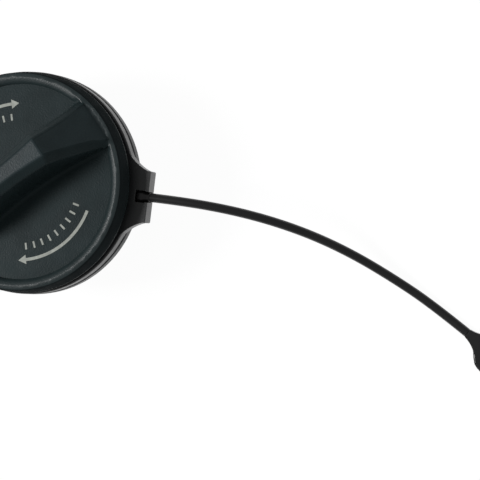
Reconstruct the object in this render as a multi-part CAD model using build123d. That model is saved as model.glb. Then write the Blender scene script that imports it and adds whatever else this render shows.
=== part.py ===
from build123d import *
import math
import os

# Tethered screw-in fuel filler cap, in millimetres.
# The cap stands upright on the open end of its stem: the origin is on the cap's axis at that
# end, +Z runs up the axis to the grip, and the grip's handle lies along X.

# ---- closure body: threaded stem, flange, cup with ratchet teeth ----
STEM_LENGTH = 24.0
STEM_RADIUS = 23.4
STEM_WALL = 2.8
STEM_MOUTH_CHAMFER = 0.6
PILOT_RELIEF = 0.4
PILOT_LENGTH = 3.6
THREAD_PITCH = 6.0
THREAD_TURNS = 2.0
THREAD_HEIGHT = 2.2
THREAD_ROOT_WIDTH = 3.4
THREAD_CREST_WIDTH = 1.6
THREAD_START = 5.6
THREAD_SINK = 0.4
THREAD_RAMP_ANGLE = 16.0
THREAD_RAMP_BACK_ANGLE = 1.0
FLANGE_PROUD = 0.2
FLANGE_HEIGHT = 4.4
FLANGE_THICKNESS = 2.2
FLANGE_WALL = 2.0
FLANGE_CHAMFER = 0.5
FLANGE_RIBS = 18
FLANGE_RIB_THICKNESS = 1.4
FLANGE_RIB_DEPTH = 1.5
FLANGE_RIB_GAP = 0.4
CUP_WALL = 2.7
CUP_TOP_GAP = 0.8
SNAP_GROOVE_DEPTH = 1.0
SNAP_GROOVE_HEIGHT = 2.0
SNAP_RISE = 1.5
RATCHET_TEETH = 36
RATCHET_DEPTH = 1.2
RATCHET_HEIGHT = 4.6
RATCHET_LAND = 0.1
RATCHET_GULLET_ANGLE = 1.2
SUPPORT_INSET = 3.0
SUPPORT_WALL = 1.6
VENT_HOLES = 6
VENT_RADIUS = 1.4
VENT_CIRCLE = 4.6

# ---- tether ring with its ear ----
RING_RADIUS = 41.0
RING_WIDTH = 3.6
RING_HEIGHT = 4.7
RING_CHAMFER = 0.4
EAR_LENGTH = 5.8
EAR_DROP = 1.7
EAR_HALF_WIDTH = 9.4
EAR_SIDE_LENGTH = 1.1
EAR_CORNER_ROUND = 0.55
EAR_FLANK_START = 15.6
EAR_FLANK_HOLLOW = 1.5
EAR_SLOT_WIDTH = 4.3
EAR_SLOT_LENGTH = 4.9
EAR_FLOOR = 2.05
EAR_THROAT_WIDTH = 3.7
EAR_THROAT_LENGTH = 1.2
TETHER_AZIMUTH = -42.0

# ---- grip cover ----
COVER_LIP_INSET = 0.5
COVER_LIP_RISE = 3.0
COVER_LIP_HEIGHT = 0.8
COVER_LIP_CHAMFER = 0.3
COVER_SHOULDER_INSET = 1.3
COVER_SKIRT_WALL = 1.2
COVER_WALL = 2.2
CREST_RISE = 10.2
CREST_ROUND = 1.8
CREST_INNER_ROUND = 1.0
POCKET_DEPTH = 2.0
POCKET_WALL_ANGLE = 53.0
POCKET_ROUND = 1.2
ROUND_STEP_ANGLE = 30.0
HANDLE_RISE = 18.3
HANDLE_HALF_WIDTH = 5.9
HANDLE_HALF_WIDTH_AT_RIM = 10.6
HANDLE_TOP_HALF_LENGTH = 18.8
HANDLE_RAMP_DROP = 0.25
HANDLE_DRAFT = 2.0
HANDLE_SHOULDER = 2.6
HANDLE_FOOT_CHAMFER = 0.7
HANDLE_RIBS = 3
HANDLE_RIB_PITCH = 13.0
HANDLE_RIB_THICKNESS = 1.5
SNAP_LUGS = 6
SNAP_LUG_ANGLE = 20.0
SNAP_LUG_HEIGHT = 1.4
DRIVE_KEYS = 6
DRIVE_KEY_INSET = 2.1
DRIVE_KEY_LENGTH = 3.4
DRIVE_KEY_WIDTH = 3.6
SEAT_RIB_INSET = 0.6
SEAT_RIB_WALL = 1.6

# ---- drive ring with its pawl fingers ----
DRIVE_INNER_RADIUS = 18.6
DRIVE_HEIGHT = 3.2
PAWLS = 3
PAWL_ARM_WALL = 1.5
PAWL_ARM_GAP = 1.6
PAWL_SLOT = 1.4
PAWL_ROOT_ANGLE = 12.0
PAWL_SPAN_ANGLE = 60.0
PAWL_TIP_ANGLE = 9.0

# ---- seals ----
GASKET_WIDTH = 6.0
GASKET_HEIGHT = 3.4
GASKET_CHAMFER = 0.9
O_RING_SECTION = 1.2
O_RING_SIDES = 8
O_RING_SQUEEZE = 0.05

# ---- valve set inside the stem ----
RETAINER_RECESS = 0.8
RETAINER_HEIGHT = 2.2
RETAINER_RIM = 2.6
RETAINER_SPOKES = 4
RETAINER_SPOKE_WIDTH = 2.6
RETAINER_HUB_RADIUS = 4.2
HOUSING_HEIGHT = 14.0
HOUSING_WALL = 3.4
HOUSING_FLOOR = 2.2
SEAT_RADIUS = 8.6
SEAT_WALL = 1.2
SEAT_HEIGHT = 1.6
O_RING_GROOVE_HEIGHT = 3.0
O_RING_GROOVE_DEPTH = 2.4
O_RING_GROOVE_DROP = 6.0
SEAL_RADIUS = 12.0
SEAL_BORE = 4.4
SEAL_THICKNESS = 1.4
PLATE_RADIUS = 12.8
PLATE_THICKNESS = 1.6
PLATE_RIM_HEIGHT = 1.6
PLATE_SLEEVE_RADIUS = 2.3
PLATE_SLEEVE_HEIGHT = 1.8
PLATE_PORTS = 6
PLATE_PORT_RADIUS = 0.55
PLATE_PORT_CIRCLE = 3.45
VACUUM_STEM_RADIUS = 1.5
VACUUM_STEM_CLEARANCE = 0.06
VACUUM_DISC_RADIUS = 7.0
VACUUM_DISC_THICKNESS = 1.0
VACUUM_RIM_WALL = 1.2
VACUUM_RIM_HEIGHT = 0.9
VACUUM_SPRING_LENGTH = 5.4
VACUUM_SPRING_WIRE = 0.25
VACUUM_SPRING_RADIUS = 3.4
VACUUM_SPRING_TURNS = 5
CLIP_RADIUS = 3.9
CLIP_THICKNESS = 0.7
CLIP_GROOVE_DEPTH = 0.4
STEM_TAIL = 0.9
SPRING_CUP_RADIUS = 11.6
SPRING_CUP_BORE = 7.2
SPRING_CUP_SHEET = 0.8
SPRING_CUP_LIP = 1.4
PRESSURE_SPRING_RADIUS = 9.6
PRESSURE_SPRING_WIRE = 0.6
PRESSURE_SPRING_TURNS = 5

# ---- wire of both springs, as straight runs of a many-sided section ----
COIL_RUNS = 16
COIL_SIDES = 6

# ---- strap ----
STRAP_DIAMETER = 3.3
STRAP_HEAD_LENGTH = 3.0
STRAP_HEAD_RADIUS = 2.0
STRAP_HEAD_CHAMFER = 0.5
STRAP_NECK_PROUD = 0.4
STRAP_LEAD_OUT = 13.0
STRAP_BEND_SHARE = 0.45
EYELET_RADIUS = 8.0
EYELET_THICKNESS = 3.2
EYELET_BORE = 4.0
EYELET_NECK_LENGTH = 13.0
EYELET_CHAMFER = 0.4
EYELET_FLANK_HOLLOW = 0.26

# ---- clearances ----
RING_GAP = 0.3
RING_BORE_GAP = 0.4
COVER_GAP = 0.35
SKIRT_GAP = 0.4
SNAP_GAP = 0.3
RATCHET_GAP = 0.35
DRIVE_KEY_GAP = 0.15
DRIVE_FLOAT = 0.3
STATIC_GAP = 0.1
STRAP_GAP = 0.15
SPRING_GAP = 0.3
CLIP_GAP = 0.02
CUT_OVERRUN = 1.0

# ---- radii that follow from the sizes above ----
ring_bore = RING_RADIUS - RING_WIDTH
flange_radius = RING_RADIUS + FLANGE_PROUD
ear_clear_radius = flange_radius + RING_GAP
ear_reach = RING_RADIUS + EAR_LENGTH
ear_slot_start = ear_reach - EAR_SLOT_LENGTH
cup_radius = ring_bore - RING_BORE_GAP
cup_inner = cup_radius - CUP_WALL
skirt_inner = cup_radius + SKIRT_GAP
lip_radius = RING_RADIUS - COVER_LIP_INSET
shoulder_radius = RING_RADIUS - COVER_SHOULDER_INSET
crest_radius = shoulder_radius - CREST_ROUND
pocket_wall = math.radians(POCKET_WALL_ANGLE)
pocket_rounds = CREST_INNER_ROUND + POCKET_ROUND
pocket_wall_run = (POCKET_DEPTH - pocket_rounds * (1 - math.cos(pocket_wall))) / math.tan(pocket_wall)
pocket_radius = crest_radius - pocket_wall_run - pocket_rounds * math.sin(pocket_wall)
pilot_radius = STEM_RADIUS - PILOT_RELIEF
stem_bore = STEM_RADIUS - STEM_WALL
housing_radius = stem_bore - STATIC_GAP
housing_bore = housing_radius - HOUSING_WALL
pawl_arm_radius = cup_inner - RATCHET_DEPTH - PAWL_ARM_GAP
drive_outer = pawl_arm_radius - PAWL_ARM_WALL - PAWL_SLOT
drive_key_radius = DRIVE_INNER_RADIUS + DRIVE_KEY_INSET + DRIVE_KEY_LENGTH / 2
seat_rib_radius = drive_outer - SEAT_RIB_INSET
support_radius = drive_outer - SUPPORT_INSET

# ---- heights that follow from the sizes above ----
flange_top = STEM_LENGTH + FLANGE_HEIGHT
web_low = flange_top - FLANGE_THICKNESS
ring_low = flange_top + RING_GAP
ring_top = ring_low + RING_HEIGHT
ear_low = ring_low - EAR_DROP
skirt_low = ring_top + COVER_GAP
lip_low = ring_top + COVER_LIP_RISE
crest_top = ring_top + CREST_RISE
pocket_floor = crest_top - POCKET_DEPTH
cover_under = pocket_floor - COVER_WALL
handle_top = crest_top + HANDLE_RISE
cup_top = cover_under - CUP_TOP_GAP
snap_low = skirt_low + SNAP_RISE
drive_top = cup_top - CUP_TOP_GAP
drive_low = drive_top - DRIVE_HEIGHT
ratchet_low = cup_top - RATCHET_HEIGHT
retainer_top = RETAINER_RECESS + RETAINER_HEIGHT
housing_top = retainer_top + HOUSING_HEIGHT
seat_top = retainer_top + HOUSING_FLOOR + SEAT_HEIGHT
plate_low = seat_top + SEAL_THICKNESS
plate_top = plate_low + PLATE_THICKNESS
clip_low = plate_top + VACUUM_SPRING_LENGTH
vacuum_stem_top = clip_low + CLIP_THICKNESS + STEM_TAIL
spring_cup_low = web_low - SPRING_CUP_SHEET
slot_floor = ear_low + EAR_FLOOR
strap_height = slot_floor + STRAP_GAP + STRAP_HEAD_RADIUS


def turned(points, edges=()):
    """Solid of revolution about Z from (radius, height) points, with named corners chamfered."""
    face = make_face(Polyline(*points, close=True))
    for corner, size in edges:
        vertex = face.vertices().sort_by_distance((corner[0], corner[1], 0))[0]
        face = chamfer(vertex, size)
    return revolve(Plane.XZ * face, Axis.Z)


def rounded(centre, radius, start, end):
    """Points of an arc between two angles in degrees, in steps fine enough for a small round."""
    steps = math.ceil(abs(end - start) / ROUND_STEP_ANGLE)
    turn = [math.radians(start + (end - start) * i / steps) for i in range(steps + 1)]
    return [(centre[0] + radius * math.cos(a), centre[1] + radius * math.sin(a)) for a in turn]


def tube(outer, inner, low, high):
    """Plain ring between two heights."""
    return turned([(inner, low), (outer, low), (outer, high), (inner, high)])


def around(shape, count, start=0.0):
    """Copies of a shape, evenly spaced about Z."""
    return [Rot(0, 0, start + i * 360 / count) * shape for i in range(count)]


def polar(radius, degrees):
    """Point of the XY plane from a radius and an angle."""
    return (radius * math.cos(math.radians(degrees)), radius * math.sin(math.radians(degrees)))


def block(x_low, x_high, y_width, low, high):
    """Box centred on Y = 0."""
    placed = Pos((x_low + x_high) / 2, 0, (low + high) / 2)
    return placed * Box(x_high - x_low, y_width, high - low)


def coil(radius, wire, low, high, turns):
    """Compression spring standing between two heights: short runs of wire round a helix."""
    rise = high - low - 2 * wire
    steps = turns * COIL_RUNS
    points = []
    for i in range(steps + 1):
        x, y = polar(radius, 360 * i / COIL_RUNS)
        points.append((x, y, low + wire + rise * i / steps))
    path = Polyline(*points)
    section = Plane(origin=path @ 0, z_dir=path % 0) * RegularPolygon(wire, COIL_SIDES)
    return sweep(section, path=path, transition=Transition.RIGHT)


# ---------------------------------------------------------------- closure body


def stem_thread():
    """Single coarse thread round the stem, sunk a little into its wall."""
    root = STEM_RADIUS - THREAD_SINK
    crest = STEM_RADIUS + THREAD_HEIGHT
    path = Pos(0, 0, THREAD_START) * Helix(THREAD_PITCH, THREAD_PITCH * THREAD_TURNS, root)
    profile = Polyline(
        (root, -THREAD_ROOT_WIDTH / 2),
        (crest, -THREAD_CREST_WIDTH / 2),
        (crest, THREAD_CREST_WIDTH / 2),
        (root, THREAD_ROOT_WIDTH / 2),
        close=True,
    )
    section = Pos(0, 0, THREAD_START) * (Plane.XZ * make_face(profile))
    thread = sweep(section, path=path, is_frenet=True)
    for end_height, turn in ((THREAD_START, 1), (THREAD_START + THREAD_PITCH * THREAD_TURNS, -1)):
        wedge = Polyline(
            polar(root, 0),
            polar(crest + CUT_OVERRUN, -turn * THREAD_RAMP_BACK_ANGLE),
            polar(crest + CUT_OVERRUN, turn * THREAD_RAMP_ANGLE),
            close=True,
        )
        thread -= extrude(Pos(0, 0, end_height) * make_face(wedge), THREAD_ROOT_WIDTH, both=True)
    return thread


def ratchet_teeth():
    """Saw teeth on the inside of the cup: a radial face, then a ramp back to the wall."""
    pitch = 360 / RATCHET_TEETH
    root = cup_inner + CUP_WALL / 2
    tooth = Polyline(
        polar(root, 0),
        polar(cup_inner - RATCHET_DEPTH, 0),
        polar(cup_inner - RATCHET_LAND, pitch - RATCHET_GULLET_ANGLE),
        polar(root, pitch - RATCHET_GULLET_ANGLE),
        close=True,
    )
    solid = extrude(Pos(0, 0, ratchet_low) * make_face(tooth), RATCHET_HEIGHT)
    return around(solid, RATCHET_TEETH)


def closure_body():
    """Stem, flange with its short skirt, and the cup that the grip turns on: one moulding."""
    flange_inner = flange_radius - FLANGE_WALL
    outline = [
        (stem_bore + STEM_MOUTH_CHAMFER, 0),
        (pilot_radius, 0),
        (pilot_radius, PILOT_LENGTH),
        (STEM_RADIUS, PILOT_LENGTH),
        (STEM_RADIUS, web_low),
        (flange_inner, web_low),
        (flange_inner, STEM_LENGTH),
        (flange_radius, STEM_LENGTH),
        (flange_radius, flange_top),
        (cup_radius, flange_top),
        (cup_radius, snap_low - SNAP_GAP),
        (cup_radius - SNAP_GROOVE_DEPTH, snap_low - SNAP_GAP),
        (cup_radius - SNAP_GROOVE_DEPTH, snap_low - SNAP_GAP + SNAP_GROOVE_HEIGHT),
        (cup_radius, snap_low - SNAP_GAP + SNAP_GROOVE_HEIGHT),
        (cup_radius, cup_top),
        (cup_inner, cup_top),
        (cup_inner, flange_top),
        (0, flange_top),
        (0, web_low),
        (stem_bore, web_low),
        (stem_bore, STEM_MOUTH_CHAMFER),
    ]
    edges = [
        ((flange_radius, STEM_LENGTH), FLANGE_CHAMFER),
        ((flange_radius, flange_top), FLANGE_CHAMFER),
    ]
    body = turned(outline, edges)
    body += tube(support_radius, support_radius - SUPPORT_WALL, flange_top, drive_low - DRIVE_FLOAT)
    rib_start = STEM_RADIUS + GASKET_WIDTH + FLANGE_RIB_GAP
    rib_end = flange_radius - FLANGE_WALL / 2
    rib = block(rib_start, rib_end, FLANGE_RIB_THICKNESS, web_low - FLANGE_RIB_DEPTH, web_low)
    body += around(rib, FLANGE_RIBS)
    body += ratchet_teeth()
    body += stem_thread()
    vent = Pos(VENT_CIRCLE, 0, web_low) * Cylinder(VENT_RADIUS, FLANGE_THICKNESS * 2 + CUT_OVERRUN)
    body -= around(vent, VENT_HOLES)
    return body


def neck_gasket():
    """Moulded gasket under the flange, round the stem."""
    inner = STEM_RADIUS + STATIC_GAP
    outer = STEM_RADIUS + GASKET_WIDTH
    top = web_low
    low = top - GASKET_HEIGHT
    outline = [(inner, low), (outer, low), (outer, top), (inner, top)]
    return turned(outline, [((inner, low), GASKET_CHAMFER), ((outer, low), GASKET_CHAMFER)])


# ---------------------------------------------------------------- tether ring


def tether_ring():
    """Loose ring under the grip, with an ear that holds the strap's head in an open slot."""
    outline = [
        (ring_bore, ring_low),
        (RING_RADIUS, ring_low),
        (RING_RADIUS, ring_top),
        (ring_bore, ring_top),
    ]
    edges = [((RING_RADIUS, ring_top), RING_CHAMFER), ((RING_RADIUS, ring_low), RING_CHAMFER)]
    ring = turned(outline, edges)
    root = (ring_bore + RING_RADIUS) / 2
    flank_start = math.sqrt(RING_RADIUS**2 - EAR_FLANK_START**2) - RING_CHAMFER
    flank_end = ear_reach - EAR_SIDE_LENGTH
    middle_x = (flank_start + flank_end) / 2 + EAR_FLANK_HOLLOW / 2
    middle_y = (EAR_FLANK_START + EAR_HALF_WIDTH) / 2 - EAR_FLANK_HOLLOW
    upper = ThreePointArc(
        (flank_start, EAR_FLANK_START), (middle_x, middle_y), (flank_end, EAR_HALF_WIDTH)
    )
    lower = ThreePointArc(
        (flank_end, -EAR_HALF_WIDTH), (middle_x, -middle_y), (flank_start, -EAR_FLANK_START)
    )
    border = [
        upper,
        Line((flank_end, EAR_HALF_WIDTH), (ear_reach, EAR_HALF_WIDTH)),
        Line((ear_reach, EAR_HALF_WIDTH), (ear_reach, -EAR_HALF_WIDTH)),
        Line((ear_reach, -EAR_HALF_WIDTH), (flank_end, -EAR_HALF_WIDTH)),
        lower,
        Line((flank_start, -EAR_FLANK_START), (root, 0)),
        Line((root, 0), (flank_start, EAR_FLANK_START)),
    ]
    face = make_face(border)
    corners = face.vertices().group_by(Axis.X)[-1]
    face = fillet(corners, EAR_CORNER_ROUND)
    ear = extrude(Pos(0, 0, ring_low) * face, RING_HEIGHT)
    block_face = face & Pos(ear_reach, 0) * Rectangle(ear_reach, EAR_HALF_WIDTH * 2)
    drop = extrude(Pos(0, 0, ear_low) * block_face, EAR_DROP)
    drop -= tube(ear_clear_radius, 0, ear_low, ring_low)
    slot_end = ear_reach - EAR_THROAT_LENGTH
    body = ring + ear + drop
    slot_top = ring_top + CUT_OVERRUN
    body -= block(ear_slot_start, slot_end, EAR_SLOT_WIDTH, slot_floor, slot_top)
    body -= block(slot_end, ear_reach + CUT_OVERRUN, EAR_THROAT_WIDTH, slot_floor, slot_top)
    return Rot(0, 0, TETHER_AZIMUTH) * body


def strap_head():
    """Barrel head and short neck of the strap, dropped into the ear's slot."""
    start = ear_slot_start + STRAP_GAP
    head_end = start + STRAP_HEAD_LENGTH
    neck_end = ear_reach + STRAP_NECK_PROUD
    neck_radius = STRAP_DIAMETER / 2
    outline = [
        (0, start),
        (STRAP_HEAD_RADIUS, start),
        (STRAP_HEAD_RADIUS, head_end),
        (neck_radius, head_end),
        (neck_radius, neck_end),
        (0, neck_end),
    ]
    edges = [
        ((STRAP_HEAD_RADIUS, start), STRAP_HEAD_CHAMFER),
        ((STRAP_HEAD_RADIUS, head_end), STRAP_HEAD_RADIUS - neck_radius),
    ]
    head = Pos(0, 0, strap_height) * Rot(0, 90, 0) * turned(outline, edges)
    return Rot(0, 0, TETHER_AZIMUTH) * head


# ---------------------------------------------------------------- strap


def strap_route():
    """Centre line of the strap: out of the ear, down to the ground and along it to the eyelet."""
    start = polar(ear_reach + STRAP_NECK_PROUD, TETHER_AZIMUTH)
    straight = polar(ear_reach + STRAP_NECK_PROUD + STRAP_LEAD_OUT, TETHER_AZIMUTH)
    ground = STRAP_DIAMETER / 2 + STATIC_GAP
    return [
        (start[0], start[1], strap_height),
        (straight[0], straight[1], strap_height),
        (56.5, -52.2, 28.8),
        (65.9, -63.5, 23.2),
        (74.1, -75.6, 16.0),
        (81.2, -88.9, 9.2),
        (87.7, -104.1, 4.3),
        (93.5, -119.5, ground),
        (98.1, -135.2, ground),
    ]


def route_radii(points):
    """Largest bend at each corner of the route that its two runs allow."""
    radii = []
    for before, corner, after in zip(points, points[1:], points[2:]):
        run_in = Vector(*corner) - Vector(*before)
        run_out = Vector(*after) - Vector(*corner)
        turn = math.radians(run_in.get_angle(run_out))
        shorter = min(run_in.length, run_out.length)
        radii.append(STRAP_BEND_SHARE * shorter / math.tan(turn / 2))
    return radii


def tether_strap(points, radii):
    """Round moulded strap along its route."""
    path = FilletPolyline(*points, radius=radii)
    section = Plane(origin=path @ 0, z_dir=path % 0) * Circle(STRAP_DIAMETER / 2)
    return sweep(section, path=path), path.length


def strap_eyelet(points):
    """Flat eyelet at the strap's end, with a neck that widens from the strap."""
    end = points[-1]
    before = points[-2]
    heading = math.degrees(math.atan2(end[1] - before[1], end[0] - before[0]))
    strap_half = STRAP_DIAMETER / 2
    angle = math.degrees(math.acos((EYELET_RADIUS - strap_half) / EYELET_NECK_LENGTH))
    tangent_x = EYELET_NECK_LENGTH - EYELET_RADIUS * math.cos(math.radians(angle))
    tangent_y = EYELET_RADIUS * math.sin(math.radians(angle))
    hollow_y = strap_half + (tangent_y - strap_half) * EYELET_FLANK_HOLLOW
    hollow = (tangent_x / 2, hollow_y)
    edges = [
        ThreePointArc((0, strap_half), hollow, (tangent_x, tangent_y)),
        Line((tangent_x, tangent_y), (tangent_x, -tangent_y)),
        ThreePointArc((tangent_x, -tangent_y), (tangent_x / 2, -hollow_y), (0, -strap_half)),
        Line((0, -strap_half), (0, strap_half)),
    ]
    outline = [
        (EYELET_BORE, 0),
        (EYELET_RADIUS, 0),
        (EYELET_RADIUS, EYELET_THICKNESS),
        (EYELET_BORE, EYELET_THICKNESS),
    ]
    chamfers = [
        ((EYELET_RADIUS, 0), EYELET_CHAMFER),
        ((EYELET_RADIUS, EYELET_THICKNESS), EYELET_CHAMFER),
    ]
    neck = extrude(make_face(edges), EYELET_THICKNESS)
    neck -= Pos(EYELET_NECK_LENGTH, 0, 0) * Cylinder(EYELET_BORE, EYELET_THICKNESS * 2 + CUT_OVERRUN)
    pad = neck + Pos(EYELET_NECK_LENGTH, 0, 0) * turned(outline, chamfers)
    return Pos(end[0], end[1], 0) * Rot(0, 0, heading) * pad


# ---------------------------------------------------------------- grip cover


def handle_form(inset, top):
    """Waisted handle: drafted sides cut by end ramps; inset gives the hollow inside it."""
    low = cover_under - COVER_WALL
    reach = crest_radius
    sections = []
    for height in (low, top):
        draft = (height - pocket_floor) * math.tan(math.radians(HANDLE_DRAFT))
        middle = HANDLE_HALF_WIDTH - inset - draft
        end = HANDLE_HALF_WIDTH_AT_RIM - inset - draft
        edges = [
            ThreePointArc((-reach, end), (0, middle), (reach, end)),
            Line((reach, end), (reach, -end)),
            ThreePointArc((reach, -end), (0, -middle), (-reach, -end)),
            Line((-reach, -end), (-reach, end)),
        ]
        sections.append(Pos(0, 0, height) * make_face(edges))
    prism = loft(sections, ruled=True)
    ramp_run = crest_radius - HANDLE_TOP_HALF_LENGTH
    ramp_angle = math.atan2(HANDLE_RISE + HANDLE_RAMP_DROP, ramp_run)
    top_half = HANDLE_TOP_HALF_LENGTH - inset * math.tan(ramp_angle / 2)
    low_half = top_half + (top - low) / math.tan(ramp_angle)
    side = Polyline((-low_half, low), (low_half, low), (top_half, top), (-top_half, top), close=True)
    wedge = extrude(Plane.XZ * make_face(side), HANDLE_HALF_WIDTH_AT_RIM + CUT_OVERRUN, both=True)
    return prism & wedge


def grip_shell():
    """Outside of the grip before it is hollowed: disc with a raised rim, and the handle."""
    crest = rounded((crest_radius, crest_top - CREST_ROUND), CREST_ROUND, 0, 90)
    inner_centre = (crest_radius, crest_top - CREST_INNER_ROUND)
    inner = rounded(inner_centre, CREST_INNER_ROUND, 90, 90 + POCKET_WALL_ANGLE)
    foot_centre = (pocket_radius, pocket_floor + POCKET_ROUND)
    pocket_foot = rounded(foot_centre, POCKET_ROUND, POCKET_WALL_ANGLE - 90, -90)
    outline = [
        (0, cover_under),
        (skirt_inner, cover_under),
        (skirt_inner, skirt_low),
        (skirt_inner + COVER_SKIRT_WALL, skirt_low),
        (skirt_inner + COVER_SKIRT_WALL, lip_low),
        (lip_radius, lip_low),
        (lip_radius, lip_low + COVER_LIP_HEIGHT),
        *crest,
        *inner[1:],
        *pocket_foot,
        (0, pocket_floor),
    ]
    disc = turned(outline, [((lip_radius, lip_low), COVER_LIP_CHAMFER)])
    handle = handle_form(0, handle_top)
    ridge = handle.edges().filter_by(lambda edge: edge.center().Z > pocket_floor + POCKET_DEPTH)
    ridge = ridge.filter_by(lambda edge: abs(edge.center().Y) > HANDLE_SHOULDER)
    handle = chamfer(ridge, HANDLE_SHOULDER)
    handle &= tube(crest_radius, 0, cover_under, handle_top + CUT_OVERRUN)
    shell = disc + handle
    foot = shell.edges().filter_by_position(Axis.Z, pocket_floor, pocket_floor)
    foot = foot.filter_by(lambda edge: abs(edge.center().Y) < HANDLE_HALF_WIDTH_AT_RIM)
    foot = foot.filter_by(lambda edge: edge.length > HANDLE_TOP_HALF_LENGTH)
    return chamfer(foot, HANDLE_FOOT_CHAMFER)


def grip_cover():
    """Hollow moulded grip: shell, hollow handle with cross ribs, snap lugs and drive keys."""
    cover = grip_shell()
    hollow = handle_form(COVER_WALL, handle_top - COVER_WALL)
    hollow_low = cover_under - CUT_OVERRUN
    hollow &= tube(pocket_radius - COVER_WALL, 0, hollow_low, handle_top)
    span = (HANDLE_RIBS - 1) / 2
    for i in range(HANDLE_RIBS):
        x = (i - span) * HANDLE_RIB_PITCH
        half = HANDLE_RIB_THICKNESS / 2
        hollow -= block(x - half, x + half, HANDLE_HALF_WIDTH_AT_RIM * 2, hollow_low, handle_top)
    cover -= hollow
    cover += tube(seat_rib_radius, seat_rib_radius - SEAT_RIB_WALL, drive_top, cover_under)
    key = block(
        drive_key_radius - DRIVE_KEY_LENGTH / 2,
        drive_key_radius + DRIVE_KEY_LENGTH / 2,
        DRIVE_KEY_WIDTH,
        drive_low + DRIVE_FLOAT,
        cover_under,
    )
    cover += around(key, DRIVE_KEYS, 180 / DRIVE_KEYS)
    lug_inner = cup_radius - SNAP_GROOVE_DEPTH + SNAP_GAP
    lug_outer = skirt_inner + COVER_SKIRT_WALL / 2
    lug = tube(lug_outer, lug_inner, snap_low, snap_low + SNAP_LUG_HEIGHT)
    edge = polar(lip_radius + CUT_OVERRUN, SNAP_LUG_ANGLE / 2)
    sector = make_face(Polyline((0, 0), edge, (edge[0], -edge[1]), close=True))
    lug &= extrude(sector, handle_top)
    cover += around(lug, SNAP_LUGS)
    return cover


def drive_ring():
    """Ring keyed into the grip, with flexible fingers whose tips sit in the ratchet teeth."""
    arm_inner = pawl_arm_radius - PAWL_ARM_WALL
    face = Circle(drive_outer) - Circle(DRIVE_INNER_RADIUS)
    tip_radius = cup_inner - RATCHET_GAP
    tip_angle = PAWL_SPAN_ANGLE - math.degrees(RATCHET_GAP / cup_inner)
    back_angle = tip_angle - PAWL_TIP_ANGLE
    band = Circle(pawl_arm_radius) - Circle(arm_inner)
    reach = pawl_arm_radius * 2
    span = make_face(Polyline((0, 0), polar(reach, 0), polar(reach, tip_angle / 2),
                              polar(reach, tip_angle), close=True))
    arm = band & span
    root = Circle(pawl_arm_radius) - Circle(drive_outer - PAWL_ARM_WALL)
    root &= make_face(Polyline((0, 0), polar(reach, 0), polar(reach, PAWL_ROOT_ANGLE), close=True))
    tip = make_face(Polyline(polar(arm_inner, tip_angle), polar(tip_radius, tip_angle),
                             polar(pawl_arm_radius, back_angle), polar(arm_inner, back_angle), close=True))
    for pawl in around(arm + root + tip, PAWLS):
        face += pawl
    notch = Rectangle(DRIVE_KEY_LENGTH + DRIVE_KEY_GAP * 2, DRIVE_KEY_WIDTH + DRIVE_KEY_GAP * 2)
    for cut in around(Pos(drive_key_radius, 0) * notch, DRIVE_KEYS, 180 / DRIVE_KEYS):
        face -= cut
    return extrude(Pos(0, 0, drive_low) * face, DRIVE_HEIGHT)


# ---------------------------------------------------------------- valve set


def valve_retainer():
    """Spoked ring in the mouth of the stem, holding the valve housing up."""
    rim = tube(housing_radius, housing_radius - RETAINER_RIM, RETAINER_RECESS, retainer_top)
    centre = (RETAINER_RECESS + retainer_top) / 2
    hub = Pos(0, 0, centre) * Cylinder(RETAINER_HUB_RADIUS, RETAINER_HEIGHT)
    spoke = block(0, housing_radius - RETAINER_RIM / 2, RETAINER_SPOKE_WIDTH, RETAINER_RECESS, retainer_top)
    return rim + hub + around(spoke, RETAINER_SPOKES)


def valve_housing():
    """Cup pushed up into the stem, with the raised valve seat and the seal groove."""
    groove_low = housing_top - O_RING_GROOVE_DROP
    groove_radius = housing_radius - O_RING_GROOVE_DEPTH
    return turned(
        [
            (SEAT_RADIUS, retainer_top),
            (housing_radius, retainer_top),
            (housing_radius, groove_low),
            (groove_radius, groove_low),
            (groove_radius, groove_low + O_RING_GROOVE_HEIGHT),
            (housing_radius, groove_low + O_RING_GROOVE_HEIGHT),
            (housing_radius, housing_top),
            (housing_bore, housing_top),
            (housing_bore, retainer_top + HOUSING_FLOOR),
            (SEAT_RADIUS + SEAT_WALL, retainer_top + HOUSING_FLOOR),
            (SEAT_RADIUS + SEAT_WALL / 2, seat_top),
            (SEAT_RADIUS, seat_top),
        ]
    )


def housing_seal():
    """O-ring between the valve housing and the stem's bore."""
    height = housing_top - O_RING_GROOVE_DROP + O_RING_GROOVE_HEIGHT / 2
    centre = stem_bore - O_RING_SQUEEZE - O_RING_SECTION
    profile = RegularPolygon(O_RING_SECTION, O_RING_SIDES)
    section = Pos(centre, height) * Rot(0, 0, 180 / O_RING_SIDES) * profile
    return revolve(Plane.XZ * section, Axis.Z)


def pressure_seal():
    """Rubber washer under the pressure plate, sealing on the seat and round the vacuum valve."""
    return tube(SEAL_RADIUS, SEAL_BORE, seat_top, plate_low)


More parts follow.
